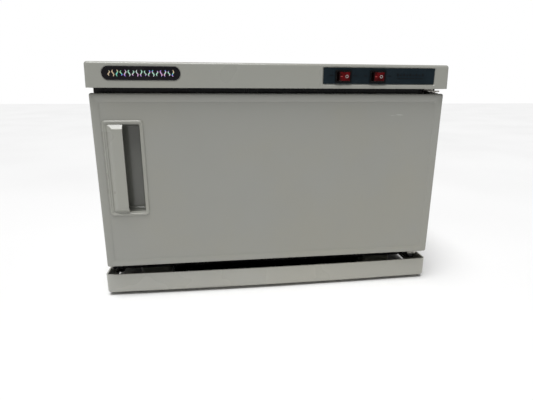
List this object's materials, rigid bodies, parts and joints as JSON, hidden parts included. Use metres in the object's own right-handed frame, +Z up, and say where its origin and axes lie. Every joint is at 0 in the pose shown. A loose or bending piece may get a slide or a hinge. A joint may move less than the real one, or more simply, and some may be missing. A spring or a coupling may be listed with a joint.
{
  "type": "hot towel cabinet",
  "caption": "Countertop hot towel cabinet: insulated heated chamber with a side-hung door, germicidal lamp, top cover with rocker switches, and a sliding drip tray.",
  "frame": {"origin": "centre of the bounding box's base, on the table under the rubber foot pads", "axes": "+Z up, the door faces -Y, +X to the right of a person facing the door, where the hinges are"},
  "size_m": [0.462, 0.2876, 0.3065],
  "materials": {
    "cover_plastic": "glossy moulded ABS, warm light grey, lightly aged",
    "sheet_paint": "light grey powder coat, fine orange peel",
    "black_paint": "black gloss enamel",
    "liner_metal": "bright rolled aluminium sheet",
    "glass_wool": "yellow glass-wool felt",
    "foam": "cream moulded foam",
    "element_steel": "heat-tinted steel sheath",
    "zinc_steel": "zinc-plated steel",
    "rack_chrome": "bright chromed wire",
    "lamp_glass": "clear quartz glass",
    "lamp_end": "satin aluminium caps",
    "white_plastic": "white heat-proof plastic",
    "gear_case": "plain steel case",
    "badge_black": "black acrylic with an iridescent foil mark",
    "panel_dark": "dark blue-grey printed film under gloss",
    "switch_black": "black nylon",
    "rocker_red": "translucent dark red, white marks",
    "tab_brass": "tinned brass",
    "seal_rubber": "dark grey magnetic gasket rubber",
    "pad_rubber": "black rubber",
    "magnet_black": "dark ferrite",
    "bush_plastic": "white acetal"
  },
  "bodies": {
    "cabinet": {"outer_shell": "sheet_paint", "rear_panel": "sheet_paint", "base_pan": "black_paint", "bottom_cover": "black_paint", "front_frame": "black_paint", "chamber_liner": "liner_metal", "insulation_blanket": "glass_wool", "insulation_rear": "glass_wool", "heater_plate": "liner_metal", "heating_element": "element_steel", "thermostat": "zinc_steel", "thermal_fuse": "white_plastic", "terminal_block": "white_plastic", "lamp_tube": "lamp_glass", "lamp_caps": "lamp_end", "lampholder_left": "white_plastic", "lampholder_right": "white_plastic", "lamp_guard": "liner_metal", "lamp_ballast": "gear_case", "lamp_starter": "white_plastic", "towel_rack": "rack_chrome", "rack_support_left": "liner_metal", "rack_support_right": "liner_metal", "lid": "cover_plastic", "badge_plate": "badge_black", "control_panel": "panel_dark", "heat_housing": "switch_black", "lamp_housing": "switch_black", "switch_tabs": "tab_brass", "lid_bracket_left": "zinc_steel", "lid_bracket_right": "zinc_steel", "hinge_bracket_lower": "zinc_steel", "hinge_bracket_upper": "zinc_steel", "hinge_pin_lower": "zinc_steel", "hinge_pin_upper": "zinc_steel", "foot_front_left": "cover_plastic", "foot_front_right": "cover_plastic", "foot_rear_left": "cover_plastic", "foot_rear_right": "cover_plastic", "foot_pads": "pad_rubber", "tray_rail_left": "black_paint", "tray_rail_right": "black_paint", "cable_gland": "switch_black", "lid_screws": "zinc_steel", "rear_screws": "zinc_steel", "foot_screws": "zinc_steel", "hinge_screws": "zinc_steel"},
    "door": {"door_shell": "cover_plastic", "door_plate": "liner_metal", "door_foam": "foam", "door_gasket": "seal_rubber", "door_handle": "cover_plastic", "door_bush_lower": "bush_plastic", "door_bush_upper": "bush_plastic", "door_magnets": "magnet_black", "door_screws": "zinc_steel"},
    "heat_switch_rocker": {"heat_rocker": "rocker_red"},
    "lamp_switch_rocker": {"lamp_rocker": "rocker_red"},
    "tray": {"drip_tray": "cover_plastic"}
  },
  "joints": [
    {"name": "door_hinge", "type": "hinge", "parent": "cabinet", "child": "door", "pos_m": [0.218, -0.12, 0.159], "axis": [0, 0, 1], "range_deg": [0, 110]},
    {"name": "heat_rocker_pivot", "type": "hinge", "parent": "cabinet", "child": "heat_switch_rocker", "pos_m": [0.084, -0.1376, 0.2916], "axis": [0, 0, -1], "range_deg": [0, 20]},
    {"name": "lamp_rocker_pivot", "type": "hinge", "parent": "cabinet", "child": "lamp_switch_rocker", "pos_m": [0.129, -0.1376, 0.2916], "axis": [0, 0, -1], "range_deg": [0, 20]},
    {"name": "tray_slide", "type": "slide", "parent": "cabinet", "child": "tray", "axis": [0, -1, 0], "range_m": [0, 0.055]}
  ]
}
